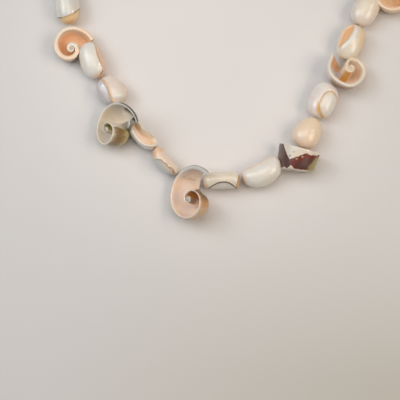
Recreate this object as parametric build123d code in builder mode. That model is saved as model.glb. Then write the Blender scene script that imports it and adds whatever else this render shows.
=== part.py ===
# Snail shell necklace, lying in a loop on a table: cut shell slices and polished shell beads on a thread.
# Millimetres and degrees. The origin is on the table under the middle of the loop's box, +Z is up.

import os
from math import atan2, cos, degrees, hypot, radians, sin, tan

from build123d import *

os.makedirs("parts", exist_ok=True)

# Thread and drilling
thread_diameter = 0.4
bore_diameter = 1.0
bore_overrun = 1.0
thread_bend = 1.5
thread_height = 5.0
piece_gap = 0.2

# Barrel clasp at the back of the neck
clasp_diameter = 5.0
clasp_length = 12.0
clasp_edge = 0.8
clasp_socket_depth = 3.0
socket_gap = 0.1

# Shell slices: wall of the whorl, floor under it, and how the cup narrows below its cut face
slice_wall = 0.9
slice_floor = 0.9
mouth_overrun = 2.0
nest_gap = 0.25
cup_sections = [
    # depth share, size share
    (0.00, 1.00),
    (0.40, 0.95),
    (0.75, 0.86),
    (1.00, 0.72),
]

# Shell beads: half sizes along the bead, as shares of its half length and of its half girth
bead_sections = [
    # along, girth
    (-1.00, 0.48),
    (-0.80, 0.79),
    (-0.45, 0.96),
    (0.00, 1.00),
    (0.45, 0.95),
    (0.80, 0.76),
    (1.00, 0.44),
]
mouth_shares = (0.66, 0.62)
mouth_offset_share = 0.56
core_shares = (0.84, 0.40)
core_offset_share = 0.44

# Where neighbours meet on the thread, from the left side of the loop down, round the front and up the right
knots = [
    (-69.0, 7.4),
    (-67.4, -10.1),
    (-59.5, -17.5),
    (-54.1, -34.4),
    (-44.1, -44.9),
    (-41.3, -50.2),
    (-29.9, -64.6),
    (-20.2, -76.2),
    (-10.5, -79.2),
    (6.4, -78.3),
    (23.3, -70.2),
    (31.4, -63.7),
    (38.4, -51.5),
    (44.7, -36.1),
    (50.9, -25.9),
    (56.8, -10.3),
    (64.5, 3.7),
]
front_kinds = ["bead"] + ["slice", "bead", "bead"] * 5

# Round the back of the neck the strand follows one arc, which rises this far past the ends of the front;
# each kind of piece takes its own length of it
back_rise = 86.4
back_bead_length = 17.0
back_slice_length = 10.5
back_kinds = ["slice", "bead", "bead"] * 3 + ["clasp"] + ["bead", "bead", "slice"] * 2 + ["bead"]

# A bead's bow is how far its middle lies outward of its ends, as a share of its half width; its trims shorten
# it at an end that meets a slice
bead_forms = [
    # half width, half height, bow share, roll, mouth direction, trim at start, trim at end
    (5.2, 4.7, 0.00, 0, 60, 0.0, -0.6),
    (5.8, 4.8, 0.00, 10, 20, 0.0, 0.0),
    (6.0, 4.8, 0.00, -10, 100, 0.0, 0.0),
    (3.2, 4.9, 0.45, 0, 100, 0.0, 0.0),
    (3.2, 4.8, 0.40, 0, 110, 0.0, 0.0),
    (3.9, 5.0, 0.00, 0, -30, 0.6, 0.0),
    (4.9, 4.8, 0.36, 0, -60, 0.0, 0.0),
    (5.7, 4.8, 0.00, 0, -90, -1.0, 0.0),
    (5.8, 4.9, 0.00, 0, 80, 0.0, 0.0),
    (5.5, 4.8, 0.00, 0, 75, 0.0, 0.0),
    (5.6, 4.8, 0.00, 0, -90, 0.0, 0.0),
]
slice_forms = [
    # along, outward, first radius, growth, lip curl, lip start, lip direction, lean, lean direction, depth, quarters
    (3.1, 7.5, 12.3, 1.45, 0.75, 24, 67, 4, 100, 7.0, 4),
    (6.2, 9.5, 15.3, 1.40, 1.00, 30, 65, 40, 238, 9.0, 5),
    (2.1, 9.2, 15.4, 1.30, 1.00, 35, 59, 40, 192, 9.0, 5),
    (5.9, 3.0, 11.4, 1.35, 1.00, 30, 110, 80, 35, 9.4, 4),
    (3.1, 3.5, 9.6, 1.27, 1.00, 20, 79, 22, -14, 8.0, 5),
    (-3.7, 9.6, 11.5, 1.35, 1.00, 30, 65, 10, 30, 7.5, 4),
]
back_slice_rows = [2, 4, 1, 4]


def back_knots():
    """Knots of the back arc, from the last front knot round to the first one, both left out."""
    start = Vector(*knots[-1])
    end = Vector(*knots[0])
    chord = end - start
    half_chord = chord.length / 2
    radius = (half_chord**2 + back_rise**2) / (2 * back_rise)
    across = Vector(chord.Y, -chord.X).normalized()
    centre = start + chord * 0.5 + across * (back_rise - radius)
    first = degrees(atan2(start.Y - centre.Y, start.X - centre.X))
    sweep_angle = 2 * degrees(atan2(half_chord, radius - back_rise))
    lengths = {"bead": back_bead_length, "slice": back_slice_length, "clasp": clasp_length + 2 * piece_gap}
    total = sum(lengths[kind] for kind in back_kinds)
    places = []
    done = 0.0
    for kind in back_kinds[:-1]:
        done += lengths[kind]
        angle = radians(first + sweep_angle * done / total)
        places.append((centre.X + radius * cos(angle), centre.Y + radius * sin(angle)))
    return places


def forms_along(order):
    """The row of each piece, in their order on the thread; the back takes rows of the front again."""
    beads = 0
    slices = 0
    rows = []
    for kind in order:
        if kind == "bead":
            rows.append(bead_forms[beads % len(bead_forms)])
            beads += 1
        elif kind == "slice":
            back = slices - len(slice_forms)
            rows.append(slice_forms[slices if back < 0 else back_slice_rows[back]])
            slices += 1
        else:
            rows.append(None)
    return rows


kinds = front_kinds + back_kinds
forms = forms_along(kinds)
strand = [Vector(x, y, thread_height) for x, y in knots + back_knots()]


def run(index):
    """Start, end, direction and outward side of the run between two neighbouring knots."""
    start = strand[index]
    end = strand[(index + 1) % len(strand)]
    direction = (end - start).normalized()
    outward = Vector(direction.Y, -direction.X, 0)
    return start, end, direction, outward


def turn_at(index):
    """Angle through which the thread turns at a knot."""
    before = strand[index % len(strand)] - strand[index - 1]
    after = strand[(index + 1) % len(strand)] - strand[index % len(strand)]
    return before.get_angle(after)


def bead_frame(index):
    """Middle plane of a bead across the thread, with its half sizes and bow; the bead rests on the table."""
    half_width, half_height, bow_share, roll, mouth, start_trim, end_trim = forms[index]
    start, end, direction, outward = run(index)
    if kinds[index - 1] != "slice":
        start_trim = 0
    if kinds[(index + 1) % len(kinds)] != "slice":
        end_trim = 0
    end_size = half_width * bead_sections[0][1]
    first = start + direction * (piece_gap / 2 + start_trim + end_size * tan(radians(turn_at(index)) / 2))
    last = end - direction * (piece_gap / 2 + end_trim + end_size * tan(radians(turn_at(index + 1)) / 2))
    middle = (first + last) * 0.5
    seat = hypot(half_width * sin(radians(roll)), half_height * cos(radians(roll)))
    plane = Plane(origin=(middle.X, middle.Y, seat), x_dir=outward, z_dir=direction)
    return plane, ((last - first).length / 2, half_width, half_height), half_width * bow_share, roll, mouth


def ovoid(plane, sizes, bow, roll, shares, shift, mode):
    """Blunt egg along the plane's normal, bowed outward, lofted through ellipses and moved by a shift."""
    half_length, half_width, half_height = sizes
    length_share, girth_share = shares
    faces = []
    for along, girth in bead_sections:
        place = along * length_share
        outward = shift.X + bow * (1 - place**2)
        centre = plane.origin + plane.x_dir * outward + Vector(0, 0, shift.Y) + plane.z_dir * place * half_length
        with BuildSketch(Plane(origin=centre, x_dir=plane.x_dir, z_dir=plane.z_dir)) as section:
            Ellipse(half_width * girth * girth_share, half_height * girth * girth_share, rotation=roll)
        faces.append(section.sketch)
    loft(faces, mode=mode)


def drill(index):
    """Hole for the thread through one piece, along its own run."""
    start, end, direction, outward = run(index)
    with BuildSketch(Plane(origin=start - direction * bore_overrun, x_dir=outward, z_dir=direction)) as section:
        Circle(bore_diameter / 2)
    extrude(section.sketch, amount=(end - start).length + 2 * bore_overrun, mode=Mode.SUBTRACT)


def make_bead(index):
    """Polished whole shell with its mouth, the core showing in it, drilled from end to end."""
    plane, sizes, bow, roll, mouth = bead_frame(index)
    reach = Vector(sizes[1] * cos(radians(mouth)), sizes[2] * sin(radians(mouth)))
    with BuildPart() as hollow:
        ovoid(plane, sizes, bow, roll, mouth_shares, reach * mouth_offset_share, Mode.ADD)
        ovoid(plane, sizes, bow, roll, core_shares, reach * core_offset_share, Mode.SUBTRACT)
    with BuildPart() as bead:
        ovoid(plane, sizes, bow, roll, (1, 1), Vector(), Mode.ADD)
        add(hollow.part, mode=Mode.SUBTRACT)
        drill(index)
    return bead


def spiral_quarters(first_radius, growth, lip_curl, count):
    """Quarter arcs of a shrinking spiral about its pole, as pairs of centre and radius; the lip curls in."""
    ratio = 1 / growth
    centre = Vector(ratio, -1) * (first_radius * (1 - ratio) / (1 + ratio**2))
    radius = first_radius
    quarters = []
    for number in range(count):
        quarters.append((centre, radius))
        turned = radians(90 * (number + 1))
        centre = centre + Vector(cos(turned), sin(turned)) * (radius - radius * ratio)
        radius *= ratio
    centre, radius = quarters[0]
    quarters[0] = (centre + Vector(0, radius * (1 - lip_curl)), radius * lip_curl)
    return quarters


def spiral_point(quarter, angle, inset, size):
    """Point of a quarter arc, drawn inset by a wall and scaled about the pole."""
    centre, radius = quarter
    return (centre + Vector(cos(radians(angle)), sin(radians(angle))) * (radius - inset)) * size


def draw_spiral(quarters, first, last, start, stop, inset, size):
    """Arcs from quarter first, begun at angle start, to quarter last, ended at angle stop."""
    for number in range(first, last + 1):
        begin = start if number == first else 90 * number
        finish = stop if number == last else 90 * (number + 1)
        centre, radius = quarters[number]
        CenterArc(centre * size, (radius - inset) * size, begin, finish - begin)


def cup_outline(plane, quarters, lip, size):
    """Whole turn of the shell from its lip, closed across the mouth."""
    with BuildSketch(plane) as outline:
        with BuildLine():
            draw_spiral(quarters, 0, 4, lip, 360 + lip, 0, size)
            Line(spiral_point(quarters[4], 360 + lip, 0, size), spiral_point(quarters[0], lip, 0, size))
        make_face()
    return outline.sketch


def whorl_outline(plane, quarters, lip, turns, size):
    """Open space between the wall and the next turn in, run out past the mouth."""
    outward = Vector(sin(radians(lip)), -cos(radians(lip))) * mouth_overrun
    wall_lip = spiral_point(quarters[0], lip, slice_wall, size)
    core_lip = spiral_point(quarters[4], lip, 0, size)
    wall_end = spiral_point(quarters[turns - 1], 90 * turns, slice_wall, size)
    core_end = spiral_point(quarters[turns + 3], 90 * turns, 0, size)
    with BuildSketch(plane) as outline:
        with BuildLine():
            draw_spiral(quarters, 0, turns - 1, lip, 90 * turns, slice_wall, size)
            Line(wall_end, core_end)
            draw_spiral(quarters, 4, turns + 3, 360 + lip, 360 + 90 * turns, 0, size)
            Line(core_lip, core_lip + outward)
            Line(core_lip + outward, wall_lip + outward)
            Line(wall_lip + outward, wall_lip)
        make_face()
    return outline.sketch


def face_plane(place, lean, lean_direction, lip_direction, quarters, lip):
    """Plane of a slice's cut face: leant over, and turned in itself so that the lip points as given."""
    axis = Axis((0, 0, 0), (-sin(radians(lean_direction)), cos(radians(lean_direction)), 0))
    lip_end = spiral_point(quarters[0], lip, 0, 1)
    spin = radians(lip_direction) - atan2(lip_end.Y, lip_end.X)
    level = Vector(cos(spin), sin(spin), 0)
    return Plane(origin=place, x_dir=level.rotate(axis, lean), z_dir=Vector(0, 0, 1).rotate(axis, lean))


def make_cup(plane, quarters, lip, depth):
    """Solid cup of a slice, narrowing below its face."""
    with BuildPart() as cup:
        loft([cup_outline(plane.offset(-share * depth), quarters, lip, size) for share, size in cup_sections],
             ruled=True)
    return cup


def make_relief(index):
    """Room for the end of a bead where it nests in a slice."""
    plane, sizes, bow, roll, mouth = bead_frame(index)
    roomy = tuple(size + nest_gap for size in sizes)
    with BuildPart() as relief:
        ovoid(plane, roomy, bow, roll, (1, 1), Vector(), Mode.ADD)
    return relief


def make_slice(index):
    """Slice across a large shell, hollow between its turns, drilled where the thread comes in."""
    along, out, first_radius, growth, curl, lip, lip_direction, lean, lean_direction, depth, turns = forms[index]
    start, end, direction, outward = run(index)
    heading = degrees(atan2(direction.Y, direction.X))
    quarters = spiral_quarters(first_radius, growth, curl, turns + 4)
    middle = (start + end) * 0.5 + direction * along + outward * out
    angles = (lean, heading + lean_direction, heading + lip_direction)
    level = face_plane((middle.X, middle.Y, 0), *angles, quarters, lip)
    seat = -make_cup(level, quarters, lip, depth).part.bounding_box().min.Z
    plane = face_plane((middle.X, middle.Y, seat), *angles, quarters, lip)
    with BuildPart() as cut:
        add(make_cup(plane, quarters, lip, depth).part)
        floor_share = 1 - slice_floor / depth
        hollow = [(-slice_floor / depth, 1.0)] + cup_sections[:-1] + [(floor_share, cup_sections[-1][1])]
        loft([whorl_outline(plane.offset(-share * depth), quarters, lip, turns, size) for share, size in hollow],
             ruled=True, mode=Mode.SUBTRACT)
        for neighbour in (index - 1, (index + 1) % len(kinds)):
            add(make_relief(neighbour).part, mode=Mode.SUBTRACT)
        drill(index)
    return cut


def make_clasp(index):
    """Barrel clasp with a blind socket for each end of the thread."""
    start, end, direction, outward = run(index)
    middle = Plane(origin=(start + end) * 0.5, x_dir=outward, z_dir=direction)
    with BuildPart() as clasp:
        with BuildSketch(middle.offset(-clasp_length / 2)):
            Circle(clasp_diameter / 2)
        extrude(amount=clasp_length)
        chamfer(clasp.edges().filter_by(GeomType.CIRCLE), length=clasp_edge)
        for side in (1, -1):
            with BuildSketch(middle.offset(side * clasp_length / 2)):
                Circle(thread_diameter / 2 + socket_gap)
            extrude(amount=-side * clasp_socket_depth, mode=Mode.SUBTRACT)
    return clasp


def make_thread(clasp_index):
    """Thread through every piece, from one socket of the clasp round to the other."""
    start, end, direction, outward = run(clasp_index)
    inside = clasp_length / 2 - clasp_socket_depth + piece_gap
    middle = (start + end) * 0.5
    count = len(strand)
    route = [middle + direction * inside]
    route += [strand[(clasp_index + 1 + step) % count] for step in range(count)]
    route += [middle - direction * inside]
    with BuildPart() as thread:
        with BuildLine() as path:
            FilletPolyline(*route, radius=thread_bend)
        with BuildSketch(Plane(origin=route[0], x_dir=outward, z_dir=direction)):
            Circle(thread_diameter / 2)
        sweep(path=path.line)
    return thread


numbers = {"bead": 0, "slice": 0, "clasp": 0}
makers = {"bead": make_bead, "slice": make_slice, "clasp": make_clasp}
for index, kind in enumerate(kinds):
    numbers[kind] += 1
    piece = makers[kind](index)
    piece.part.label = kind if kind == "clasp" else f"{kind}_{numbers[kind]:02d}"
    export_step(piece.part, f"parts/{piece.part.label}.step")

thread = make_thread(kinds.index("clasp"))
thread.part.label = "thread"
export_step(thread.part, "parts/thread.step")
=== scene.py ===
from math import asin, cos, pi, radians, sin

import bmesh
import bpy
import numpy as np
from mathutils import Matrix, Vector


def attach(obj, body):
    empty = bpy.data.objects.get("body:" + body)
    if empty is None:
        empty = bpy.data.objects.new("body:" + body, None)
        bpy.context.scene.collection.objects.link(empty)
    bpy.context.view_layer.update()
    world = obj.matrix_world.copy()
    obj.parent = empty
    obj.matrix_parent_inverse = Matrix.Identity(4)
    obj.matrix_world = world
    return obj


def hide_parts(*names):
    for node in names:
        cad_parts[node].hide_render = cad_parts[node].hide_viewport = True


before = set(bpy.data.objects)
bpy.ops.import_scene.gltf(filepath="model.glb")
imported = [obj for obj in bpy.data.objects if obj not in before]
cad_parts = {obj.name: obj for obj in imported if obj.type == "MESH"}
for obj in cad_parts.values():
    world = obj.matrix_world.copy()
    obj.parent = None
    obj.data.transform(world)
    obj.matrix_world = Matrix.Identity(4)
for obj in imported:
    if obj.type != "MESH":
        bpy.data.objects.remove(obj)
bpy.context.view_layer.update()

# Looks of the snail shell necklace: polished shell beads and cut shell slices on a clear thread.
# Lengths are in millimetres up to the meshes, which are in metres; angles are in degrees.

mm = 0.001
up = np.array([0.0, 0.0, 1.0])

# Camera: it looks down at the front of the loop, leaning back from upright
image_size = 400
pixel_size = 0.42
camera_distance = 500.0
camera_lean = 10.0
camera_target = np.array([-10.9, -86.9, 5.0])
sensor_width = 36.0

# Thread route: where neighbouring pieces meet, from the left side down, round the front and up the right
thread_height = 5.0
knots = [
    (-69.0, 7.4),
    (-67.4, -10.1),
    (-59.5, -17.5),
    (-54.1, -34.4),
    (-44.1, -44.9),
    (-41.3, -50.2),
    (-29.9, -64.6),
    (-20.2, -76.2),
    (-10.5, -79.2),
    (6.4, -78.3),
    (23.3, -70.2),
    (31.4, -63.7),
    (38.4, -51.5),
    (44.7, -36.1),
    (50.9, -25.9),
    (56.8, -10.3),
    (64.5, 3.7),
]

# What lies between the knots: at the front, and round the back, which is an arc that rises this far over its
# chord and is shared out by the length of thread that each kind of piece takes up
front_kinds = ["bead"] + ["slice", "bead", "bead"] * 5
back_kinds = ["slice", "bead", "bead"] * 3 + ["clasp"] + ["bead", "bead", "slice"] * 2 + ["bead"]
back_rise = 86.4
back_lengths = {"bead": 17.0, "slice": 10.5, "clasp": 12.4}

# Strips of a mesh join where their points are this near, in metres, edges past this angle stay sharp, and an
# outline's length is measured in this many steps
merge_distance = 2e-7
sharp_angle = 50
outline_steps = 2000


def smooth(share):
    """Smooth step from 0 to 1."""
    share = np.clip(share, 0, 1)
    return share * share * (3 - 2 * share)


def window(value, low, high, fade):
    """One half at two limits, more between them and less outside, from 0 to 1 over the width of a fade."""
    return 0.5 + np.clip(np.minimum(value - low, high - value) / fade, -0.5, 0.5)


def through(value, places, heights):
    """Smooth curve through a few points, level beyond its ends."""
    places = np.asarray(places, float)
    heights = np.asarray(heights, float)
    slopes = np.gradient(heights, places)
    value = np.clip(value, places[0], places[-1])
    left = np.clip(np.searchsorted(places, value, side="right") - 1, 0, len(places) - 2)
    span = places[left + 1] - places[left]
    share = (value - places[left]) / span
    rest = 1 - share
    return (
        heights[left] * rest * rest * (1 + 2 * share)
        + slopes[left] * span * share * rest * rest
        + heights[left + 1] * share * share * (3 - 2 * share)
        - slopes[left + 1] * span * share * share * rest
    )


def back_knots():
    """Knots of the back arc, from the last front knot round to the first one, both left out."""
    start = np.array(knots[-1])
    chord = np.array(knots[0]) - start
    half_chord = np.linalg.norm(chord) / 2
    radius = (half_chord**2 + back_rise**2) / (2 * back_rise)
    across = np.array([chord[1], -chord[0]]) / np.linalg.norm(chord)
    centre = start + chord / 2 + across * (back_rise - radius)
    first = np.arctan2(*(start - centre)[::-1])
    sweep = 2 * np.arctan2(half_chord, radius - back_rise)
    lengths = np.cumsum([back_lengths[kind] for kind in back_kinds])
    angles = first + sweep * lengths[:-1] / lengths[-1]
    return [tuple(centre + radius * np.array([cos(angle), sin(angle)])) for angle in angles]


kinds = front_kinds + back_kinds
strand = [np.array([x, y, thread_height]) for x, y in knots + back_knots()]


def run(index):
    """Start, end, direction and outward side of the run between two neighbouring knots."""
    start = strand[index]
    end = strand[(index + 1) % len(strand)]
    direction = (end - start) / np.linalg.norm(end - start)
    return start, end, direction, np.array([direction[1], -direction[0], 0.0])


def node_span(node, axis):
    """Middle and half size of a CAD node along one direction."""
    places = [Vector(axis).dot(vertex.co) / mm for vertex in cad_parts[node].data.vertices]
    return (max(places) + min(places)) / 2, (max(places) - min(places)) / 2


def add_mesh(name, points, faces, place=None, values=None):
    """New mesh object from points in millimetres, with each point's place and values for its material."""
    mesh = bpy.data.meshes.new(name)
    mesh.from_pydata((np.asarray(points) * mm).tolist(), [], faces)
    if place is not None:
        mesh.attributes.new("place", "FLOAT_VECTOR", "POINT").data.foreach_set("vector", np.ravel(place))
    for key, numbers in (values or {}).items():
        column = mesh.attributes.new(key, "FLOAT", "POINT")
        column.data.foreach_set("value", np.ravel(numbers).astype(np.float32))
    mesh.shade_smooth()
    shape = bpy.data.objects.new(name, mesh)
    bpy.context.scene.collection.objects.link(shape)
    return shape


def grid_faces(rows, columns, first=0):
    """Faces between the points of a grid that is stored row by row, from its first point on."""
    faces = []
    for row in range(rows - 1):
        for column in range(columns - 1):
            here = first + row * columns + column
            faces.append((here, here + 1, here + columns + 1, here + columns))
    return faces


def ring_faces(rings, sides):
    """Faces of a tube whose last ring joins its first one, through the bore."""
    faces = []
    for ring in range(rings):
        here = ring * sides
        ahead = (ring + 1) % rings * sides
        for side in range(sides):
            beside = (side + 1) % sides
            faces.append((here + side, here + beside, ahead + beside, ahead + side))
    return faces


def close_mesh(shape):
    """Joins the strips of a shape where they meet, fills what is left open and turns its faces outwards."""
    work = bmesh.new()
    work.from_mesh(shape.data)
    bmesh.ops.remove_doubles(work, verts=work.verts, dist=merge_distance)
    bmesh.ops.holes_fill(work, edges=[edge for edge in work.edges if edge.is_boundary])
    bmesh.ops.recalc_face_normals(work, faces=work.faces)
    work.to_mesh(shape.data)
    work.free()
    shape.data.shade_smooth()
    shape.data.set_sharp_from_angle(angle=radians(sharp_angle))


# Colours as they look in plain light, red, green and blue up to 255
palette = {
    "white": (234, 231, 223),
    "ivory": (234, 224, 208),
    "cream": (234, 216, 190),
    "pink": (236, 216, 206),
    "lilac": (212, 205, 210),
    "grey": (208, 208, 202),
    "peach": (244, 212, 182),
    "apricot": (246, 216, 186),
    "honey": (242, 206, 152),
    "gold": (198, 136, 66),
    "orange": (240, 184, 132),
    "deep orange": (226, 156, 100),
    "amber": (224, 168, 88),
    "tan": (200, 164, 120),
    "brown": (126, 86, 50),
    "dark": (64, 46, 32),
    "olive": (176, 164, 98),
    "maroon": (116, 46, 22),
    "plum": (88, 58, 54),
}
streak_strength = 0.12
streak_roughness = 0.2


def colour(name):
    """Linear colour of a palette entry."""
    return [((part / 255 + 0.055) / 1.055) ** 2.4 for part in palette[name]] + [1.0]


class Nodes:
    """Short calls for one material's nodes."""

    def __init__(self, name):
        self.material = bpy.data.materials.new(name)
        self.material.use_nodes = True
        self.tree = self.material.node_tree
        self.shader = self.tree.nodes["Principled BSDF"]

    def node(self, kind, **settings):
        made = self.tree.nodes.new(kind)
        for key, value in settings.items():
            setattr(made, key, value)
        return made

    def feed(self, socket, value):
        if isinstance(value, bpy.types.NodeSocket):
            self.tree.links.new(value, socket)
        else:
            socket.default_value = value

    def value(self, name, output="Fac"):
        return self.node("ShaderNodeAttribute", attribute_name=name).outputs[output]

    def mix(self, share, first, second, blend="MIX"):
        made = self.node("ShaderNodeMix", data_type="RGBA", blend_type=blend)
        self.feed(made.inputs["Factor"], share)
        self.feed(made.inputs["A"], first)
        self.feed(made.inputs["B"], second)
        return made.outputs["Result"]

    def math(self, operation, first, second, third=0.0):
        made = self.node("ShaderNodeMath", operation=operation)
        self.feed(made.inputs[0], first)
        self.feed(made.inputs[1], second)
        self.feed(made.inputs[2], third)
        return made.outputs[0]

    def limits(self, value, low, high):
        """Smooth step from 0 at the low limit to 1 at the high one."""
        made = self.node("ShaderNodeMapRange", interpolation_type="SMOOTHSTEP")
        self.feed(made.inputs["Value"], value)
        self.feed(made.inputs["From Min"], low)
        self.feed(made.inputs["From Max"], high)
        return made.outputs["Result"]

    def noise(self, scale, detail, stretch=(1, 1, 1)):
        """Cloudy pattern in the piece's own millimetres."""
        spread = self.node("ShaderNodeMapping")
        self.feed(spread.inputs["Vector"], self.value("place", "Vector"))
        spread.inputs["Scale"].default_value = stretch
        made = self.node("ShaderNodeTexNoise")
        self.feed(made.inputs["Vector"], spread.outputs["Vector"])
        made.inputs["Scale"].default_value = scale
        made.inputs["Detail"].default_value = detail
        return made.outputs["Fac"]

    def bump(self, height, strength, distance):
        made = self.node("ShaderNodeBump")
        made.inputs["Strength"].default_value = strength
        made.inputs["Distance"].default_value = distance
        self.feed(made.inputs["Height"], height)
        self.feed(self.shader.inputs["Normal"], made.outputs["Normal"])


def shell_material(name, body, second, layers, growth, gloss):
    """Polished shell: clouded body with growth lines, then each layer where its value passes one half."""
    nodes = Nodes(name)
    clouds = nodes.noise(scale=0.22, detail=2.0)
    ragged = nodes.noise(scale=1.1, detail=5.0)
    lines = nodes.noise(scale=1.0, detail=4.0, stretch=growth)
    shade = nodes.mix(nodes.limits(clouds, low=0.2, high=0.8), colour(body), colour(second))
    for key, tint, strength, soft, rough in layers:
        edge = nodes.math("MULTIPLY_ADD", nodes.math("SUBTRACT", ragged, 0.5), rough, nodes.value(key))
        share = nodes.math("MULTIPLY", nodes.limits(edge, low=0.5 - soft, high=0.5 + soft), strength)
        shade = nodes.mix(share, shade, colour(tint))
    streaks = nodes.math("MULTIPLY", nodes.limits(lines, low=0.5, high=0.8), streak_strength)
    shade = nodes.mix(streaks, shade, colour("tan"))
    nodes.feed(nodes.shader.inputs["Base Color"], shade)
    nodes.feed(nodes.shader.inputs["Roughness"], nodes.math("MULTIPLY_ADD", lines, streak_roughness, gloss))
    nodes.shader.inputs["Coat Weight"].default_value = 0.6
    nodes.shader.inputs["Coat Roughness"].default_value = 0.09
    nodes.bump(lines, strength=0.1, distance=0.0002)
    return nodes.material


# Beads: the bore, how densely they are made, the girth past which the whole body is bowed and raised, how
# wide a raised line spreads in line widths, how softly lines end, and the width over which a field fades
bore_radius = 0.5
bore_wall = 0.3
bead_rings = 90
bead_sides = 112
line_steps = 60
body_girth = 0.5
lift_spread = 1.5
line_soft = 0.25
field_fade = 2.0


# What is drawn on a bead: lines and lips through points given as the place along the bead, from -1 at its
# start to 1 at its end, and the angle round it, 0 outward, 90 on top, 180 inward. soft and rough are how
# blurred and how ragged a colour's edge is, fall how wide a hollow's slopes are, reach how far a field goes
# from its line, and closed joins the line's ends
def mark(points, line=None, width=0.3, strength=0.9, lift=0.0, inside=None, side=1, fill=0.8, soft=0.12,
         depth=0.0, fall=0.8, reach=12.0, closed=False, rough=0.15):
    """A line with its colour, width and lift, and on one side of it a field with its colour and depth."""
    return dict(
        points=points, line=line, width=width, strength=strength, lift=lift, inside=inside, side=side,
        fill=fill, soft=soft, depth=depth, fall=fall, reach=reach, closed=closed, rough=rough,
    )


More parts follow.
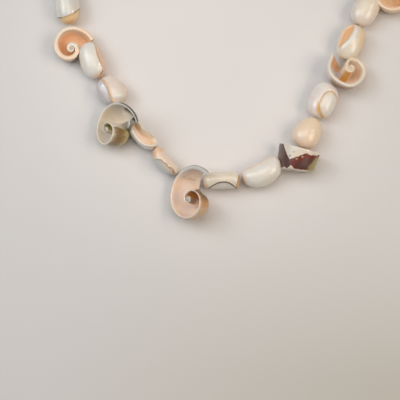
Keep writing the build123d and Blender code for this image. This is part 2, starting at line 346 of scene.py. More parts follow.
# Row by row bead_01 to bead_11, and again bead_12 to bead_22: blunt and square are the powers of the outline
# along and across, taper is how much wider the end is, and bow how far the middle is bowed outward
bead_looks = [
    dict(
        # The grey body is painted shade that dims the whole bead
        blunt=3.2, square=2.8, taper=0.0, bow=0.0, body="grey", second="ivory",
        marks=[
            mark([(0.15, 200), (0.35, 160), (0.56, 130), (0.72, 95), (0.77, 59), (0.7, 19), (0.55, -10)],
                 "tan", width=0.22, inside="honey", fill=0.95, depth=0.45, lift=0.05, rough=0.6),
            mark([(0.15, 200), (0.35, 160), (0.5, 140), (0.58, 128)],
                 "brown", width=0.25, strength=0.7, rough=0.8),
            mark([(0.76, 52), (0.7, 19), (0.55, -10)], "brown", width=0.25, strength=0.6, rough=0.8),
            mark([(0.75, 165), (0.9, 120), (0.93, 90)], inside="orange", fill=0.6, soft=0.4, reach=3.0),
        ],
    ),
    dict(
        blunt=2.7, square=2.5, taper=0.02, bow=0.4, body="white", second="ivory",
        marks=[
            mark([(-1.0, 165), (-0.84, 142), (-0.49, 128), (-0.09, 122), (0.27, 124), (0.58, 130),
                  (0.86, 132), (0.98, 120)],
                 "tan", width=0.3, inside="peach", fill=0.85, depth=0.45, lift=0.15, rough=0.3),
            mark([(-0.2, 134), (0.1, 136), (0.4, 146), (0.75, 152)], "deep orange", width=0.35, strength=0.6,
                 inside="orange", fill=0.45, soft=0.3, depth=0.2),
            mark([(0.8, 146), (0.92, 120)], "brown", width=0.35, strength=0.8),
            mark([(0.93, -180), (0.94, 0), (0.94, 60), (0.9, 110), (0.93, 180)], inside="orange", side=-1,
                 fill=0.5, soft=0.4),
        ],
    ),
    dict(
        blunt=3.0, square=2.6, taper=0.0, bow=0.0, body="pink", second="ivory",
        marks=[
            # Lilac field on the outward side of the lip: painted shade on the inner side of the aperture
            mark([(-1.1, 84), (-0.72, 94), (-0.4, 92), (0.0, 84), (0.4, 70), (0.7, 52)], "amber", width=0.5,
                 strength=0.7, lift=0.3, inside="lilac", side=-1, fill=0.9, depth=0.6, rough=0.2),
            # Olive line: a painted greenish glint
            mark([(-0.8, 40), (-0.2, 38), (0.5, 25)], "olive", width=0.9, strength=0.25, soft=0.4),
            # White line: the lip's white tooth, also painted brighter as its highlight
            mark([(0.6, 80), (0.74, 95), (0.84, 120)], "white", width=0.6, strength=0.9, lift=0.3),
            mark([(-1.0, 60), (-0.9, 90), (-0.95, 130)],
                 inside="orange", side=1, fill=0.6, soft=0.4, reach=2.0),
            mark([(0.1, 150), (0.6, 140), (1.0, 140)], inside="peach", side=1, fill=0.6, soft=0.45),
        ],
    ),
    dict(
        blunt=2.8, square=2.6, taper=0.05, bow=1.4, body="white", second="ivory",
        marks=[
            mark([(-0.92, 80), (-0.45, 64), (-0.06, 46), (0.35, 40), (0.75, 50), (0.96, 90), (0.9, 150),
                  (0.6, 156), (0.37, 134), (0.06, 118), (-0.26, 122), (-0.72, 118)],
                 "white", width=0.55, strength=0.8, lift=0.5, inside="peach", fill=0.9, depth=1.4, fall=2.4,
                 closed=True),
            mark([(-0.5, 96), (-0.1, 80), (0.4, 74), (0.8, 90), (0.8, 130), (0.4, 112), (0.0, 104)],
                 inside="orange", fill=0.5, soft=0.5, closed=True),
            mark([(-0.4, 122), (0.06, 118), (0.37, 134), (0.6, 154)], "amber", width=0.5, strength=0.6,
                 lift=0.2, soft=0.3),
        ],
    ),
    dict(
        blunt=2.8, square=2.5, taper=0.0, bow=1.2, body="pink", second="cream",
        marks=[
            # The grey field on the outward side of the dark groove line is painted shade on the bead's lower
            # side
            mark([(-0.8, 15), (-0.56, 34), (-0.33, 62), (-0.12, 82), (0.1, 84), (0.25, 92), (0.42, 84),
                  (0.6, 84), (0.8, 66), (0.97, 40)],
                 "dark", width=0.2, strength=0.5, lift=0.2, inside="grey", side=-1, fill=0.9, depth=0.7,
                 rough=0.35),
            mark([(-0.5, 46), (-0.15, 92), (0.2, 98), (0.5, 96), (0.75, 84)],
                 "cream", width=0.45, strength=0.9, lift=0.2, rough=0.3),
            mark([(-0.62, -60), (-0.56, 40), (-0.5, 120), (-0.6, 200)], inside="orange", side=1, fill=0.75,
                 soft=0.35, reach=4.0),
            mark([(-0.5, 110), (0.0, 114), (0.4, 110), (0.8, 100)],
                 inside="peach", side=-1, fill=0.7, soft=0.45, reach=3.5),
            mark([(0.55, 88), (0.7, 92), (0.84, 76), (0.95, 60)],
                 "brown", width=0.4, strength=0.75, rough=0.9),
        ],
    ),
    dict(
        blunt=6.0, square=3.0, taper=0.0, bow=0.0, body="ivory", second="cream",
        marks=[
            # The dark line is painted shade in the slit of the aperture
            mark([(-0.75, 28), (-0.5, 50), (-0.2, 65), (0.05, 69), (0.35, 63), (0.62, 38), (0.85, -5)],
                 "dark", width=0.3, strength=0.95, lift=0.15, inside="white", side=-1, fill=0.9,
                 depth=0.55, rough=0.1),
            mark([(-0.8, 14), (-0.2, -4), (0.4, -8), (0.86, -14)],
                 "tan", width=0.25, strength=0.8, lift=0.1),
            mark([(0.72, -70), (0.76, 20), (0.88, 65), (0.95, 130)], "brown", width=0.3, strength=0.6,
                 inside="amber", side=-1, fill=0.9, soft=0.3, rough=0.5),
            mark([(-0.8, -60), (-0.78, 20), (-0.86, 80), (-0.9, 140)], inside="orange", side=1, fill=0.35,
                 soft=0.3, rough=0.5),
        ],
    ),
    dict(
        blunt=2.7, square=2.5, taper=0.02, bow=1.7, body="white", second="ivory",
        marks=[
            mark([(-0.85, 140), (-0.49, 136), (-0.12, 140), (0.2, 146), (0.52, 152), (0.84, 146)], "peach",
                 width=0.5, strength=0.6, lift=0.2, inside="peach", side=1, fill=0.5, soft=0.4),
            mark([(0.3, 176), (0.45, 150), (0.7, 140), (0.95, 150)], inside="orange", side=1, fill=0.55,
                 soft=0.5, reach=4.0),
            mark([(-0.93, -180), (-0.92, 0), (-0.93, 180)],
                 inside="deep orange", side=1, fill=0.5, soft=0.4),
        ],
    ),
    dict(
        blunt=2.3, square=2.2, taper=-0.15, bow=0.0, body="apricot", second="cream",
        marks=[
            mark([(-0.5, -180), (-0.4, 0), (-0.55, 60), (-0.35, 120), (-0.5, 180)], inside="pink",
                 fill=0.3, soft=0.5),
        ],
    ),
    dict(
        blunt=2.8, square=2.5, taper=0.0, bow=0.0, body="pink", second="white",
        marks=[
            mark([(-0.95, 40), (-0.9, 70), (-0.8, 96), (-0.6, 106), (-0.3, 108), (-0.5, 90), (-0.75, 60)],
                 inside="amber", fill=1.0, soft=0.4, closed=True),
            mark([(-0.9, 8), (-0.85, 64), (-0.59, 92), (-0.19, 99), (0.24, 93), (0.48, 76), (0.5, 52),
                  (0.26, 18), (-0.13, 6), (-0.58, 0)],
                 "tan", width=0.35, strength=0.8, lift=-0.25, inside="cream", side=1, fill=0.9, soft=0.2,
                 closed=True),
            mark([(-0.78, 14), (-0.72, 58), (-0.5, 80), (-0.15, 86), (0.18, 82), (0.38, 68), (0.36, 46),
                  (0.14, 24), (-0.15, 14), (-0.5, 10)],
                 inside="white", side=1, fill=0.8, soft=0.45, depth=-0.2, fall=1.5, closed=True),
        ],
    ),
    dict(
        blunt=2.6, square=2.5, taper=0.03, bow=0.0, body="ivory", second="cream",
        marks=[
            mark([(0.85, 108), (0.55, 97), (0.15, 100), (-0.2, 110), (-0.6, 136), (-0.35, 152), (0.15, 150),
                  (0.6, 138)],
                 inside="orange", side=1, fill=0.9, soft=0.3, depth=0.6, closed=True),
            mark([(0.85, 112), (0.4, 108), (0.0, 118), (0.4, 132)], inside="orange", side=1, fill=0.7,
                 soft=0.45, closed=True),
            mark([(0.62, 84), (0.2, 86), (-0.2, 98), (-0.62, 122)],
                 "white", width=0.75, strength=0.9, soft=0.3, lift=0.35),
            mark([(-0.9, 20), (0.2, 52), (0.9, 72)], inside="honey", side=-1, fill=0.65, soft=0.5),
        ],
    ),
    dict(
        blunt=2.5, square=2.4, taper=0.0, bow=0.0, body="ivory", second="cream",
        marks=[
            mark([(-0.4, -180), (-0.5, 0), (-0.3, 70), (-0.45, 130), (-0.4, 180)], inside="pink", side=1,
                 fill=0.5, soft=0.5),
            mark([(-0.85, 130), (-0.4, 150), (0.3, 155)], "grey", width=1.2, strength=0.4, soft=0.45),
        ],
    ),
]


def smooth_line(points, closed):
    """Smooth curve through a few points, in many short steps."""
    points = np.array(points, float)
    first = 0
    last = len(points) - 1
    if closed:
        first = 2
        last = len(points) + 2
        points = np.vstack([points[-2:], points, points[:3]])
    steps = np.linspace(first, last, line_steps)
    places = np.arange(len(points))
    return np.column_stack([through(steps, places, points[:, 0]), through(steps, places, points[:, 1])])


def distance_from(line, along, around):
    """Distance of each place on a surface from a line on it, on which side of it, and whether within it."""
    nearest = np.full(along.shape, np.inf)
    side = np.ones(along.shape)
    within = np.zeros(along.shape, bool)
    for (x, y), (next_x, next_y) in zip(line[:-1], line[1:]):
        step_x = next_x - x
        step_y = next_y - y
        share = np.clip(((along - x) * step_x + (around - y) * step_y) / (step_x**2 + step_y**2), 0, 1)
        off_x = along - x - share * step_x
        off_y = around - y - share * step_y
        distance = np.hypot(off_x, off_y)
        closer = distance < nearest
        nearest = np.where(closer, distance, nearest)
        side = np.where(closer, np.sign(step_x * off_y - step_y * off_x), side)
        if step_y:
            within ^= ((y > around) != (next_y > around)) & (along < x + (around - y) * step_x / step_y)
    return nearest, side, within


def mark_distances(drawn, share, angle, half_length, girth_size):
    """Distance of each place on a bead from a mark's line, and how far each lies within the mark's field."""
    line = smooth_line(drawn["points"], drawn["closed"])
    centre = (line[:, 1].max() + line[:, 1].min()) / 2
    offset = (np.degrees(angle) - centre + 180) % 360 - 180
    line = (line - (0, centre)) * (half_length, radians(girth_size))
    nearest, side, within = distance_from(line, share * half_length, np.radians(offset) * girth_size)
    if drawn["closed"]:
        return nearest, nearest * np.where(within, 1, -1)
    return nearest, nearest * side * drawn["side"]


def mark_surface(look, share, angle, half_length, girth_size):
    """How far the marks raise each place on a bead, with the values and layers of their colours."""
    fields = []
    lines = []
    values = {}
    lift = np.zeros(share.shape)
    for number, drawn in enumerate(look["marks"]):
        nearest, inner = mark_distances(drawn, share, angle, half_length, girth_size)
        lift += drawn["lift"] * np.exp(-((nearest / (lift_spread * drawn["width"])) ** 2))
        hollow = smooth(inner / drawn["fall"]) * smooth((drawn["reach"] - inner) / drawn["fall"])
        lift -= drawn["depth"] * hollow
        if drawn["inside"]:
            key = f"field_{number}"
            values[key] = window(inner, 0, drawn["reach"], field_fade)
            fields.append((key, drawn["inside"], drawn["fill"], drawn["soft"], drawn["rough"]))
        if drawn["line"]:
            key = f"line_{number}"
            values[key] = np.clip(1 - nearest / (2 * drawn["width"]), 0, 1)
            lines.append((key, drawn["line"], drawn["strength"], line_soft, drawn["rough"] / 2))
    return lift, values, fields + lines


def egg_outline(half_length, half_width, blunt, square):
    """Even points along the outline of a blunt egg: share along its axis and share of its girth."""
    start = asin((bore_radius / half_width) ** (square / 2))
    turn = np.linspace(start, pi - start, outline_steps)
    along = -np.sign(np.cos(turn)) * np.abs(np.cos(turn)) ** (2 / blunt)
    girth = np.sin(turn) ** (2 / square)
    steps = np.hypot(np.diff(along) * half_length, np.diff(girth) * half_width)
    length = np.concatenate([[0], np.cumsum(steps)])
    even = np.linspace(0, length[-1], bead_rings)
    return np.interp(even, length, along), np.interp(even, length, girth)


def make_bead(name, index, look):
    """Polished shell bead that replaces its plain solid, in the same place and of the same size."""
    start, _, direction, outward = run(index)
    middle_along, half_length = node_span(name, direction)
    middle_out, half_out = node_span(name, outward)
    middle_up, half_height = node_span(name, up)
    axis_out = np.dot(outward, start)
    half_width = middle_out + half_out - axis_out - look["bow"]
    along, girth = egg_outline(half_length, half_width, look["blunt"], look["square"])
    turn = np.arange(bead_sides) * 2 * pi / bead_sides
    share, angle = np.meshgrid(along, turn, indexing="ij")
    size = (girth * (1 + look["taper"] * along))[:, None]
    body = smooth(size / body_girth)
    bow = look["bow"] * (1 - share**2) * body
    across = half_width * size * np.cos(angle)
    height = half_height * size * np.sin(angle)
    lift, values, layers = mark_surface(look, share, angle, half_length, (half_width + half_height) / 2)

    reach = np.hypot(across, height)
    clear = bore_radius + bore_wall + bow * np.maximum(-np.cos(angle), 0)
    grow = 1 + np.maximum(lift, clear - reach) / np.maximum(reach, bore_radius) * body
    points = (
        direction * (middle_along + half_length * share[..., None])
        + outward * (axis_out + (bow + across * grow)[..., None])
        + up * (middle_up + (height * grow)[..., None])
    )
    place = np.stack([share * half_length, across, height], axis=-1)
    bead = add_mesh(f"{name}_shell", points.reshape(-1, 3), ring_faces(*share.shape), place, values)
    bead.data.materials.append(shell_material(
        f"{name}_finish", look["body"], look["second"], layers, growth=(1.0, 0.15, 0.15), gloss=0.24))
    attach(bead, "root")
    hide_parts(name)


# Slices: how densely they are made, in steps round each turn and columns across it
slice_steps = 120
slice_turns = 3
rim_columns = 8
channel_columns = 18
rise_columns = 9
skin_rows = 44

# Form that all slices share, from the lip end inwards: the turn at which the coil starts to tighten and over
# how much of a turn, and the angles over which the drift sets in, the slash ends and the skin gets blunter
coil_start = 0.85
coil_span = 0.35
drift_start = 100.0
drift_span = 300.0
slash_reach = 130.0
skin_reach = 220.0
rim_round = 0.25
least_wall = 0.35
floor_gap = 0.9
foot_share = 0.12
channel_spread = 1.3
inner_depth = 1.3

# Colours on slices: over what angle and place across a patch fades, how depth and narrowing count in the
# place across the skin, the share of the first radius that outlines are measured at, and the grain's size
turn_fade = 40.0
across_fade = 0.5
skin_depth_share = 0.7
skin_narrow_share = 0.3
outline_girth = 0.8
grain_around = 6.0
grain_across = 8.0


def patch(tint, strength, turns, across, soft=0.12, rough=0.15):
    """Colour between two angles of the spiral and two places across it: -1 the skin's pole, 0 the rim's
    outer edge, 1 its inner edge, 2 the foot of the next turn, 3 the next turn's rim."""
    return dict(tint=tint, strength=strength, turns=turns, across=across, soft=soft, rough=rough)


def outline(tint, strength, soft, rough, points):
    """Colour on the skin within an outline of corners: the spiral's angle and the share of the depth."""
    return dict(tint=tint, strength=strength, soft=soft, rough=rough, points=points)


# Row by row slice_01 to slice_06. along and out are where the shell's pole lies from the middle of its run,
# lip_direction is the way from the pole to the lip end, and lean and lean_direction are how the cut face
# leans. depth is the slice's, slant how much deeper it is on the lip's side, and bowl the powers of the
# floor's curve. wall is the wall at the lip, thinning its change with each turn, and core the most of the
# radius that it takes up. rim has the radii at each eighth of the first turn inwards from the lip end, and
# shrink how they shrink with each turn. coil is how much tighter the innermost turns are, and drift how far
# they lie off the pole, along the run and outward. skin is the outer skin's bluntness at the lip end and
# later, taper how it narrows with depth, and slash the angle by which the lip's side winds on with depth
slice_looks = [
    dict(
        along=3.1, out=7.5, lip_direction=67, lean=4, lean_direction=100, depth=7.0, slant=0.0,
        bowl=(3.0, 2.2), wall=1.6, thinning=1.3, core=0.62,
        rim=(11.0, 10.4, 9.6, 7.5, 6.2, 5.4, 4.4, 3.6), shrink=0.30, coil=0.0, drift=(0.4, -0.3),
        skin=(3.0, 3.0), taper=0.05, slash=0, body="orange", second="peach",
        patches=[
            patch("cream", 0.8, (-90, 800), (-1.5, 0)),
            # Deeper orange at the top of the channel under the rim: the shell's orange, painted darker as
            # shade
            patch("deep orange", 0.35, (-20, 150), (0.95, 1.9), 0.4),
            patch("apricot", 0.9, (-90, 400), (-0.3, 1.1)),
            patch("ivory", 0.7, (50, 120), (0.1, 1.0), 0.3),
            patch("peach", 0.6, (200, 420), (1.0, 2.4), 0.3),
            patch("olive", 0.4, (330, 470), (-0.3, 0.3), 0.3),
            patch("ivory", 0.9, (360, 1100), (0.1, 1.1), 0.2),
            patch("cream", 0.8, (420, 1100), (1.0, 3.2), 0.3),
            # Brown on the bottom of the skin is a painted shadow under the slice
            patch("brown", 0.5, (200, 330), (-0.8, -0.15), 0.4),
        ],
    ),
    dict(
        along=6.2, out=9.5, lip_direction=65, lean=40, lean_direction=238, depth=9.0, slant=0.0,
        bowl=(2.0, 2.0), wall=1.3, thinning=0.35, core=0.45,
        rim=(15.2, 12.3, 11.4, 9.8, 8.4, 7.4, 6.4, 5.0), shrink=0.27, coil=0.2, drift=(-1.4, 2.0),
        skin=(1.15, 3.4), taper=0.0, slash=55, body="cream", second="ivory",
        patches=[
            patch("olive", 0.85, (100, 420), (-1.0, -0.05), 0.3, 0.6),
            patch("brown", 0.8, (230, 420), (-0.4, -0.02), 0.3, 0.9),
            patch("brown", 0.5, (150, 420), (-1.0, -0.7), 0.4, 0.9),
            patch("tan", 0.2, (10, 130), (1.0, 2.0), 0.5),
            # Grey just inside the rim at the top of the arch is a painted shadow under the rim
            patch("grey", 0.4, (-30, 90), (0.9, 1.35), 0.4),
            patch("lilac", 0.7, (-60, 60), (1.0, 1.6), 0.45),
            patch("lilac", 0.5, (180, 330), (1.1, 2.0), 0.4),
            patch("grey", 0.85, (-60, 95), (0.0, 1.0)),
            patch("dark", 0.95, (-60, 66), (-0.4, 0.35), 0.15),
            patch("ivory", 0.9, (215, 560), (0.0, 1.05)),
            patch("olive", 1.0, (335, 500), (1.0, 2.9), 0.3),
            patch("white", 0.9, (600, 1100), (-0.2, 3.1), 0.2),
        ],
    ),
    dict(
        along=2.1, out=9.2, lip_direction=59, lean=40, lean_direction=192, depth=9.0, slant=0.0,
        bowl=(2.0, 2.0), wall=1.9, thinning=0.2, core=0.45,
        rim=(14.6, 14.0, 12.0, 9.8, 8.7, 8.5, 8.3, 6.4), shrink=0.36, coil=0.45, drift=(0.0, 0.0),
        skin=(1.5, 3.4), taper=0.0, slash=60, body="pink", second="apricot",
        patches=[
            patch("tan", 0.8, (150, 520), (-1.0, -0.02), 0.3, 0.4),
            patch("gold", 0.8, (285, 460), (-1.0, -0.05), 0.3, 0.6),
            patch("brown", 0.85, (310, 450), (-0.7, -0.05), 0.35, 0.9),
            # Tan just inside the rim at the top is painted shade under the rim
            patch("tan", 0.25, (15, 75), (1.1, 2.2), 0.45, 0.5),
            patch("grey", 0.9, (-60, 75), (0.0, 1.0), 0.3),
            patch("brown", 0.85, (-60, 110), (-0.2, 0.14), 0.12),
            patch("ivory", 0.9, (230, 460), (0.0, 1.05)),
            patch("gold", 0.95, (330, 470), (1.0, 2.9), 0.25, 0.3),
            patch("brown", 0.8, (240, 330), (2.5, 3.0), 0.25),
            patch("white", 0.9, (470, 1100), (-0.2, 3.1), 0.2),
        ],
    ),
    dict(
        along=5.9, out=3.0, lip_direction=110, lean=80, lean_direction=35, depth=9.4, slant=0.22,
        bowl=(3.0, 2.2), wall=1.0, thinning=0.8, core=0.45,
        rim=(11.9, 10.1, 8.8, 7.5, 6.5, 5.6, 4.9, 4.2), shrink=0.30, coil=0.0, drift=(0.0, 0.0),
        skin=(12.0, 12.0), taper=0.14, slash=0, body="cream", second="ivory",
        patches=[
            patch("peach", 0.6, (-30, 400), (1.0, 2.5), 0.3),
            patch("ivory", 0.7, (-30, 400), (-0.04, 1.0)),
        ],
        outlines=[
            outline("maroon", 1.0, 0.06, 0.5, [
                (60, 0.62), (66, 0.56), (76, 0.49), (89, 0.38), (100, 0.24), (110, 0.15), (121, 0.2),
                (133, 0.15), (145, 0.14), (165, 0.03), (200, 0.03), (200, 1.0), (171, 0.92), (137, 0.95),
                (108, 0.97), (84, 0.96), (74, 0.84), (66, 0.8), (58, 0.86)]),
            outline("plum", 0.85, 0.25, 0.6, [
                (82, 0.74), (92, 0.62), (102, 0.52), (116, 0.38), (130, 0.35), (150, 0.36), (150, 0.7),
                (138, 0.92), (108, 0.93), (88, 0.9)]),
            outline("plum", 1.0, 0.06, 0.25, [
                (-10, -0.3), (34, -0.3), (37, 0.02), (44, 0.18), (51, 0.32), (60, 0.48), (67, 0.61),
                (71, 0.72), (70, 0.86), (60, 0.96), (50, 0.9), (40, 0.95), (30, 0.97),
                (10, 0.92), (-10, 0.96)]),
            outline("olive", 0.7, 0.5, 0.5, [
                (140, 0.5), (152, 0.2), (240, 0.15), (240, 1.1), (140, 1.1), (128, 0.8)]),
            outline("olive", 0.9, 0.3, 0.4, [(68, 0.2), (75, 0.22), (71, 0.29)]),
            outline("brown", 0.9, 0.3, 0.4, [(61, 0.4), (67, 0.4), (64, 0.47)]),
            outline("cream", 0.9, 0.2, 0.3, [(82, 0.5), (88, 0.46), (86, 0.54)]),
            outline("cream", 0.9, 0.2, 0.3, [(97, 0.36), (103, 0.33), (101, 0.41)]),
        ],
    ),
    dict(
        along=3.1, out=3.5, lip_direction=79, lean=22, lean_direction=-14, depth=8.0, slant=0.0,
        bowl=(3.0, 2.2), wall=1.3, thinning=1.45, core=0.72,
        rim=(9.4, 9.4, 9.6, 9.2, 8.0, 7.7, 6.4, 4.3), shrink=0.27, coil=0.0, drift=(0.6, 0.6),
        skin=(3.0, 3.0), taper=0.05, slash=-35, body="cream", second="peach",
        patches=[
            patch("brown", 0.75, (75, 170), (-1.0, -0.05), 0.3, 0.6),
            patch("lilac", 0.7, (-20, 75), (-1.0, -0.05), 0.3),
            patch("maroon", 0.4, (90, 150), (-0.9, -0.3), 0.4, 0.6),
            patch("orange", 0.85, (-30, 14), (1.05, 2.3), 0.3),
            patch("lilac", 0.85, (14, 75), (1.05, 2.4), 0.2),
            patch("amber", 0.95, (82, 150), (1.4, 2.9), 0.3),
            patch("apricot", 0.8, (140, 260), (1.05, 2.2), 0.4),
            patch("ivory", 0.8, (-60, 260), (-0.1, 1.0)),
            patch("cream", 0.9, (260, 1100), (-0.2, 1.1), 0.2),
            patch("olive", 0.5, (290, 1100), (1.0, 2.9), 0.35),
        ],
    ),
    dict(
        along=-3.7, out=9.6, lip_direction=65, lean=10, lean_direction=30, depth=7.5, slant=0.0,
        bowl=(3.0, 2.2), wall=1.4, thinning=0.9, core=0.6,
        rim=(12.0, 10.0, 9.4, 7.8, 6.6, 5.6, 4.9, 4.2), shrink=0.30, coil=0.0, drift=(0.0, 0.0),
        skin=(3.0, 3.0), taper=0.05, slash=0, body="apricot", second="honey",
        patches=[
            patch("tan", 0.6, (-30, 400), (-1.0, -0.05), 0.3),
            patch("peach", 0.6, (20, 200), (1.2, 2.4), 0.4),
            patch("peach", 0.85, (-60, 400), (-0.2, 1.02)),
            patch("ivory", 0.9, (400, 1100), (-0.2, 1.1), 0.2),
        ],
    ),
]

# Rows of the looks above, counted from 0, that slice_07 to slice_10 repeat
back_slice_rows = [2, 4, 1, 4]


def turned(axis, angle, vector):
    """Vector turned about a unit axis."""
    angle = radians(angle)
    return (vector * cos(angle) + np.cross(axis, vector) * sin(angle)
            + axis * np.dot(axis, vector) * (1 - cos(angle)))


def rim_radius(look, angle):
    """Radius of the rim's outer edge at an angle inwards from the lip end."""
    rows = np.log(np.array(look["rim"]))
    fall = np.log(look["shrink"])
    wave = rows - fall * np.arange(len(rows)) / len(rows)
    terms = np.fft.rfft(wave) / len(rows)
    turn = np.asarray(angle, float) / 360
    total = terms[0].real + fall * turn
    for number in range(1, len(terms)):
        weight = 1 if number == len(rows) / 2 else 2
        total = total + weight * (terms[number] * np.exp(2j * pi * number * turn)).real
    return np.exp(total) * (1 - look["coil"] * smooth((turn - coil_start) / coil_span))


def bowl_depth(look, depth, radius, inside):
    """How far the floor of the whorl lies below the cut face, from the middle out to the wall."""
    power, root = look["bowl"]
    return depth * (1 - np.minimum(radius / inside, 1) ** power) ** (1 / root)


def even_bends(blunt, radius, depth):
    """Bends of the skin's outline at which its points lie evenly from rim to pole, a row for each angle."""
    share = np.linspace(0, 1, outline_steps)
    rows = []
    for power, size in zip(blunt.ravel(), radius.ravel()):
        turns = share ** (power / 2)
        bend = np.sort(np.concatenate([np.arcsin(turns), np.arccos(turns)]))
        out = size * np.clip(np.cos(bend), 0, 1) ** (2 / power)
        down = depth * np.sin(bend) ** (2 / power)
        length = np.concatenate([[0], np.cumsum(np.hypot(np.diff(out), np.diff(down)))])
        rows.append(np.interp(np.linspace(0, length[-1], skin_rows), length, bend))
    return np.array(rows)


def inner_sheet(look):
    """The rim, the channel and the rise to the next turn, in rows along the spiral: how far out and down
    each point is, its place across, its angle, and how much of the drift it follows."""
    angle = np.arange(slice_steps * slice_turns + 1)[:, None] * 360 / slice_steps
    rim = rim_radius(look, angle)
    inner = rim_radius(look, angle + 360)
    thin = np.clip(look["wall"] * look["thinning"] ** (angle / 360), least_wall, look["core"] * rim)
    shallow = (rim / rim_radius(look, 360)) ** inner_depth
    depth = (look["depth"] - floor_gap) * np.where(angle < 360, 1, shallow)
    edge = np.linspace(0, 1, rim_columns)[None, :]
    rim_out = rim - thin * edge
    rim_down = rim_round * (1 - np.sqrt(1 - (2 * edge - 1) ** 2)) + 0 * rim
    inside = rim - thin
    foot = inner + foot_share * (inside - inner)
    fall = np.linspace(0, 1, channel_columns + 1)[None, 1:] ** channel_spread
    channel_out = inside + (foot - inside) * fall
    channel_down = rim_down[:, -1:] + bowl_depth(look, depth, channel_out, inside)
    climb = np.linspace(0, 1, rise_columns + 1)[None, 1:]
    climb_out = foot + (inner - foot) * climb
    climb_down = bowl_depth(look, depth, foot, inside) * (1 - smooth(climb)) + rim_round * smooth(climb)
    out = np.hstack([rim_out, channel_out, climb_out])
    down = np.hstack([rim_down, channel_down, climb_down])
    across = np.hstack([edge, 1 + fall, 2 + climb]) + 0 * rim
    turns = angle + 0 * out
    follow = smooth((turns + 360 * smooth((across - 1) / 2) - drift_start) / drift_span)
    return out, down, across, turns, follow


def outer_skin(look):
    """The skin from the rim round and down to its own pole, in the same five measures."""
    angle = np.arange(slice_steps + 1)[:, None] * 360 / slice_steps
    rim = rim_radius(look, angle)
    blunt = look["skin"][0] + (look["skin"][1] - look["skin"][0]) * smooth(angle / skin_reach)
    bend = even_bends(blunt, rim, look["depth"])
    deep = np.sin(bend) ** (2 / blunt)
    size = np.clip(np.cos(bend), 0, 1) ** (2 / blunt) * (1 - look["taper"] * deep)
    out = rim * size
    down = rim_round + (look["depth"] - rim_round) * deep
    across = -deep * skin_depth_share - (1 - size) * skin_narrow_share
    turns = angle + 0 * out
    follow = smooth((turns - drift_start) / drift_span) * (1 - deep) ** 2
    return out, down, across, turns, follow


def slice_points(index, look, out, down, turns, follow):
    """Points of a slice in its place on the strand, where it rests on the floor."""
    start, end, direction, outward = run(index)
    heading = np.degrees(np.arctan2(direction[1], direction[0]))
    pole = (start + end) / 2 + direction * look["along"] + outward * look["out"]
    drift = direction * look["drift"][0] + outward * look["drift"][1]
    lean_at = radians(heading + look["lean_direction"])
    lip_at = radians(heading + look["lip_direction"])
    axis = np.array([-sin(lean_at), cos(lean_at), 0])
    lip_side = turned(axis, look["lean"], np.array([cos(lip_at), sin(lip_at), 0]))
    normal = turned(axis, look["lean"], up)
    beside = np.cross(normal, lip_side)
    x = out * np.cos(np.radians(turns))
    y = out * np.sin(np.radians(turns))
    z = -down * (1 + look["slant"] * x / look["rim"][0])
    points = np.outer(x, lip_side) + np.outer(y, beside) + np.outer(z, normal)
    points[:, :2] += pole[:2] + np.outer(follow, drift[:2])
    points[:, 2] -= points[:, 2].min()
    return points


def slice_colours(look, down, across, turns):
    """Values and layers of a slice's patches and outlines."""
    values = {}
    layers = []
    for number, drawn in enumerate(look["patches"]):
        key = f"patch_{number}"
        within_turns = window(turns, *drawn["turns"], turn_fade)
        values[key] = np.minimum(within_turns, window(across, *drawn["across"], across_fade))
        layers.append((key, drawn["tint"], drawn["strength"], drawn["soft"], drawn["rough"]))
    girth_size = radians(look["rim"][0]) * outline_girth
    deep = (down - rim_round) / (look["depth"] - rim_round)
    for number, drawn in enumerate(look.get("outlines", ())):
        key = f"outline_{number}"
        line = np.array(drawn["points"] + drawn["points"][:1], float) * (girth_size, look["depth"])
        nearest, _, within = distance_from(line, turns * girth_size, deep * look["depth"])
        inner = np.where(across <= 0, nearest * np.where(within, 1, -1), -field_fade)
        values[key] = window(inner, 0, np.inf, field_fade)
        layers.append((key, drawn["tint"], drawn["strength"], drawn["soft"], drawn["rough"]))
    return values, layers


def make_slice(name, index, look):
    """Slice of a large shell: one spiral sheet inside, the outer skin, and the cut lip between them."""
    sheet = inner_sheet(look)
    skin = outer_skin(look)
    measures = [np.concatenate([inside.ravel(), outside.ravel()]) for inside, outside in zip(sheet, skin)]
    out, down, across, turns, follow = measures
    slash = look["slash"] * (down - rim_round) / look["depth"]
    turns = turns + slash * (1 - smooth(turns / slash_reach))
    points = slice_points(index, look, out, down, turns, follow)
    faces = grid_faces(*sheet[0].shape)
    skin_faces = grid_faces(*skin[0].shape, first=sheet[0].size)
    # The skin's faces are turned over, because it lies on the other side of the wall
    faces += [(here, ahead, opposite, beside) for here, beside, opposite, ahead in skin_faces]
    values, layers = slice_colours(look, down, across, turns)
    place = np.column_stack([np.radians(turns) * grain_around, across * grain_across, 0 * turns])
    shell = add_mesh(f"{name}_shell", points, faces, place, values)
    close_mesh(shell)
    shell.data.materials.append(shell_material(
        f"{name}_finish", look["body"], look["second"], layers, growth=(1.0, 0.12, 1.0), gloss=0.28))
    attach(shell, "root")
    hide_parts(name)


def thread_material():
    """Clear nylon line."""
    nodes = Nodes("clear_line")
    nodes.shader.inputs["Base Color"].default_value = colour("white")
    nodes.shader.inputs["Transmission Weight"].default_value = 0.9
    nodes.shader.inputs["IOR"].default_value = 1.3
    nodes.shader.inputs["Roughness"].default_value = 0.1
    nodes.shader.inputs["Alpha"].default_value = 0.6
    return nodes.material


def clasp_material():
    """Plain brass."""
    nodes = Nodes("clasp_brass")
    nodes.shader.inputs["Base Color"].default_value = colour("amber")
    nodes.shader.inputs["Metallic"].default_value = 1.0
    nodes.shader.inputs["Roughness"].default_value = 0.3
    return nodes.material


def repaint(node, material):
    """New material for a CAD node that stays as it is."""
    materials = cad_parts[node].data.materials
    materials.clear()
    materials.append(material)


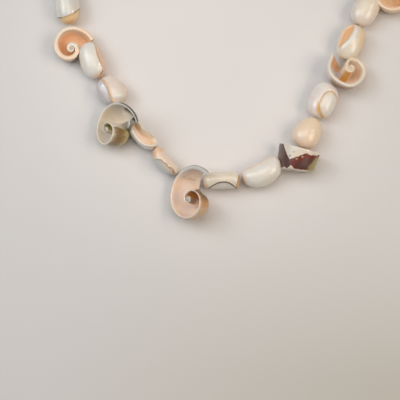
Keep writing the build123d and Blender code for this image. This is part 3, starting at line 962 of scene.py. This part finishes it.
def dress_strand():
    """Beads and slices all round the strand, counted as the CAD nodes are."""
    beads = 0
    slices = 0
    for index, kind in enumerate(kinds):
        if kind == "bead":
            make_bead(f"bead_{beads + 1:02d}", index, bead_looks[beads % len(bead_looks)])
            beads += 1
        elif kind == "slice":
            row = slices if slices < len(slice_looks) else back_slice_rows[slices - len(slice_looks)]
            make_slice(f"slice_{slices + 1:02d}", index, slice_looks[row])
            slices += 1


# Floor: its paint, the warmer painted shade towards the near right and how that sets in, and the darker
# painted shade all round, where painted light falls off away from its painted bright place
floor_half = 1500.0
floor_steps = 150
floor_paint = (0.79, 0.755, 0.735, 1)
near_painted_shade = (0.63, 0.585, 0.52, 1)
painted_shade_reach = 80.0
painted_shade_power = 1.5
painted_shade_least = 0.1
painted_falloff_tint = (0.88, 0.89, 0.89, 1)
painted_bright_place = (-10.9, -28.0)
painted_bright_reach = 30.0
painted_falloff_span = 80.0

# Lights, all turned to the front of the necklace, and the glow of the world
lights = [
    dict(name="warm_light", place=(430, -190, 500), size=340, power=1.58, tint=(1.0, 0.87, 0.74)),
    dict(name="cool_light", place=(-430, 60, 500), size=440, power=1.85, tint=(0.88, 0.95, 1.0)),
    dict(name="top_light", place=(-10, 30, 430), size=260, power=0.5, tint=(1.0, 0.97, 0.94)),
    dict(name="warm_spark", place=(430, 90, 500), size=60, power=0.3, tint=(1.0, 0.92, 0.82)),
    dict(name="cool_spark", place=(-430, 110, 480), size=80, power=0.22, tint=(0.9, 0.96, 1.0)),
]
world_tint = (1.0, 0.98, 0.96, 1)
world_power = 0.14


def make_floor():
    """Pale floor with painted shade: warmer and darker towards the near right, and darker all round away
    from a painted bright place.
    """
    places = np.linspace(-floor_half, floor_half, floor_steps + 1)
    x, y = [part.ravel() for part in np.meshgrid(places, places)]
    # Painted shade: the shade value darkens and warms the floor towards the near right, the dusk value
    # darkens it all round away from the painted bright place
    near = np.clip((camera_target[1] - y) / painted_shade_reach, 0, 1)
    to_right = np.clip((x - camera_target[0]) / (2 * painted_shade_reach) + 0.5, painted_shade_least, 1)
    away = np.hypot(x - painted_bright_place[0], y - painted_bright_place[1])
    values = {"shade": near**painted_shade_power * to_right, "dusk": smooth((away - painted_bright_reach) / painted_falloff_span)}
    faces = grid_faces(floor_steps + 1, floor_steps + 1)
    floor = add_mesh("floor", np.column_stack([x, y, 0 * x]), faces, values=values)
    nodes = Nodes("floor_paint")
    # Paint, then painted shade towards the near right, then painted falloff of light all round
    paint = nodes.mix(nodes.value("shade"), floor_paint, near_painted_shade)
    tint = nodes.mix(nodes.value("dusk"), (1, 1, 1, 1), painted_falloff_tint)
    nodes.feed(nodes.shader.inputs["Base Color"], nodes.mix(1.0, paint, tint, blend="MULTIPLY"))
    nodes.shader.inputs["Roughness"].default_value = 0.9
    nodes.shader.inputs["Specular IOR Level"].default_value = 0.1
    floor.data.materials.append(nodes.material)


def add_light(name, place, size, power, tint):
    """Soft square light that looks at the front of the necklace."""
    light = bpy.data.lights.new(name, "AREA")
    light.size = size * mm
    light.energy = power
    light.color = tint
    shape = bpy.data.objects.new(name, light)
    shape.location = Vector(place) * mm
    shape.rotation_mode = "QUATERNION"
    aim = Vector(camera_target) - Vector(place)
    shape.rotation_quaternion = aim.to_track_quat("-Z", "Y")
    bpy.context.scene.collection.objects.link(shape)


def make_world():
    """Faint even glow, and colours shown as they are."""
    world = bpy.data.worlds.new("studio")
    bpy.context.scene.world = world
    world.use_nodes = True
    world.node_tree.nodes["Background"].inputs["Color"].default_value = world_tint
    world.node_tree.nodes["Background"].inputs["Strength"].default_value = world_power
    bpy.context.scene.view_settings.view_transform = "Standard"


def make_camera():
    """Camera above the front of the necklace."""
    camera = bpy.data.cameras.new("camera")
    camera.sensor_width = sensor_width
    camera.lens = sensor_width * camera_distance / (image_size * pixel_size)
    camera.clip_start = 0.01
    camera.clip_end = 10
    shape = bpy.data.objects.new("camera", camera)
    lean = radians(camera_lean)
    back = np.array([0, -sin(lean), cos(lean)])
    shape.location = Vector(camera_target + back * camera_distance) * mm
    shape.rotation_euler = (lean, 0, 0)
    bpy.context.scene.collection.objects.link(shape)
    bpy.context.scene.camera = shape


make_floor()
for light in lights:
    add_light(**light)
make_world()
make_camera()
dress_strand()
repaint("thread", thread_material())
repaint("clasp", clasp_material())
